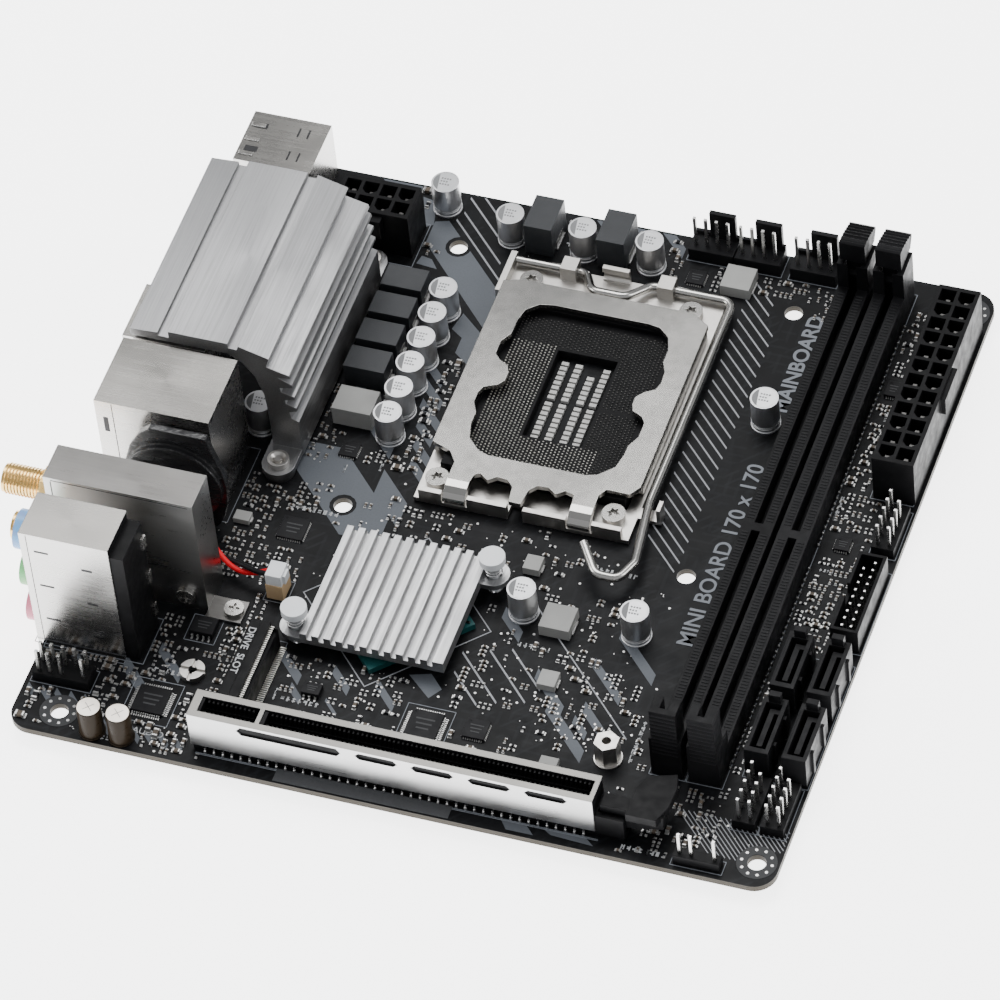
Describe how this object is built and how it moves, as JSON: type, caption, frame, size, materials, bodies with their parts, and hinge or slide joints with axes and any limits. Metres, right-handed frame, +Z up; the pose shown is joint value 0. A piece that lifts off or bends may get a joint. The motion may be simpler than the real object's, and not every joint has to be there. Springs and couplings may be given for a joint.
{
  "type": "computer motherboard",
  "caption": "Square black computer main board with socket and load plate, memory and expansion slots, heatsinks, chokes, power sockets and a row of rear ports.",
  "frame": {"origin": "centre of the board's upper face", "axes": "+X along the expansion slot, away from the rear ports; +Y along the memory slots towards their latches; +Z up, out of the component side"},
  "size_m": [0.1837, 0.17, 0.0391],
  "materials": {
    "board": "satin solder mask over glass fibre",
    "black_plastic": "fine matt moulding",
    "grey_plastic": "fine matt moulding",
    "white_plastic": "satin moulding",
    "beige_plastic": "satin moulding",
    "ring_plastic": "blue, green and pink rings",
    "ceramic": "fired ceramic",
    "steel": "stamped, nickel plated",
    "nickel_steel": "stamped, bright nickel plated",
    "black_steel": "black zinc",
    "stainless": "bright stamped strip",
    "tin_plate": "bright tin plate",
    "spring_steel": "drawn wire",
    "dark_aluminium": "brushed, dark anodised",
    "brushed_aluminium": "brushed, grey anodised",
    "thermal_pad": "soft pad",
    "chip_resin": "moulded resin",
    "substrate": "teal package board",
    "choke_grey": "pressed iron powder",
    "choke_black": "pressed iron powder",
    "capacitor_can": "bright aluminium can with printed top",
    "capacitor_gold": "dark gold sleeve",
    "brass_nickel": "nickel plated",
    "gold": "gold plated",
    "tin_pins": "plated pins",
    "shrink_wrap": "shrunk black sleeve",
    "red_wire": "smooth insulation",
    "black_wire": "smooth insulation"
  },
  "bodies": {
    "board": {"pcb": "board", "cpu_socket_body": "black_plastic", "socket_capacitors": "ceramic", "ilm_frame": "steel", "ilm_screws": "steel", "ilm_backplate": "black_steel", "vrm_heatsink": "dark_aluminium", "vrm_heatsink_screws": "nickel_steel", "vrm_thermal_pad": "thermal_pad", "vrm_mosfets": "chip_resin", "vcore_chokes": "choke_grey", "input_chokes": "choke_black", "aux_chokes": "choke_grey", "polymer_capacitors": "capacitor_can", "audio_capacitors": "capacitor_gold", "chipset": "substrate", "chipset_thermal_pad": "thermal_pad", "chipset_heatsink": "brushed_aluminium", "push_pin_spring_left": "spring_steel", "push_pin_spring_right": "spring_steel", "dimm_slot_a": "black_plastic", "dimm_slot_b": "grey_plastic", "pcie_slot_body": "black_plastic", "pcie_slot_shield": "stainless", "m2_connector": "black_plastic", "m2_standoff": "brass_nickel", "m2_nut": "brass_nickel", "wifi_shield": "tin_plate", "wifi_card": "board", "wifi_shield_screws": "nickel_steel", "sma_connectors": "gold", "audio_jack_shell": "tin_plate", "audio_jack_body": "black_plastic", "audio_jack_rings": "ring_plastic", "audio_jack_clips": "tin_plate", "lan_usb_shell": "tin_plate", "lan_usb_inserts": "black_plastic", "rear_port_shells": "tin_plate", "rear_port_inserts": "black_plastic", "eps_power_connector": "black_plastic", "atx_power_connector": "black_plastic", "power_pins": "tin_pins", "fan_headers": "black_plastic", "sata_ports": "grey_plastic", "usb3_header": "black_plastic", "pin_headers": "black_plastic", "header_pins": "tin_pins", "battery": "shrink_wrap", "battery_socket": "beige_plastic", "battery_plug": "white_plastic", "battery_wire_red": "red_wire", "battery_wire_black": "black_wire", "ic_packages": "chip_resin"},
    "lever": {"ilm_lever": "nickel_steel"},
    "load_plate": {"ilm_load_plate": "nickel_steel"},
    "push_pin_left": {"push_pin_left": "white_plastic"},
    "push_pin_right": {"push_pin_right": "white_plastic"},
    "memory_latch_a": {"dimm_latch_a": "black_plastic"},
    "memory_latch_b": {"dimm_latch_b": "grey_plastic"},
    "expansion_latch": {"pcie_slot_latch": "black_plastic"}
  },
  "joints": [
    {"name": "lever_swing", "type": "hinge", "parent": "board", "child": "lever", "pos_m": [0.01, 0.0661, 0.0031], "axis": [-1, 0, 0], "range_deg": [0, 105]},
    {"name": "load_plate_swing", "type": "hinge", "parent": "board", "child": "load_plate", "pos_m": [0.0036, -0.0032, 0.00275], "axis": [1, 0, 0], "range_deg": [0, 100]},
    {"name": "push_pin_left_press", "type": "slide", "parent": "board", "child": "push_pin_left", "axis": [0, 0, -1], "range_m": [0, 0.0015], "stiffness_N_per_m": 1500, "deforming": ["push_pin_spring_left"]},
    {"name": "push_pin_right_press", "type": "slide", "parent": "board", "child": "push_pin_right", "axis": [0, 0, -1], "range_m": [0, 0.0015], "stiffness_N_per_m": 1500, "deforming": ["push_pin_spring_right"]},
    {"name": "memory_latch_a_swing", "type": "hinge", "parent": "board", "child": "memory_latch_a", "pos_m": [0.05525, 0.0774, 0.0034], "axis": [-1, 0, 0], "range_deg": [0, 30]},
    {"name": "memory_latch_b_swing", "type": "hinge", "parent": "board", "child": "memory_latch_b", "pos_m": [0.06345, 0.0774, 0.0034], "axis": [-1, 0, 0], "range_deg": [0, 30]},
    {"name": "expansion_latch_press", "type": "hinge", "parent": "board", "child": "expansion_latch", "pos_m": [0.0496, -0.07725, 0.0036], "axis": [0, 1, 0], "range_deg": [0, 12], "stiffness_Nm_per_rad": 0.01}
  ]
}
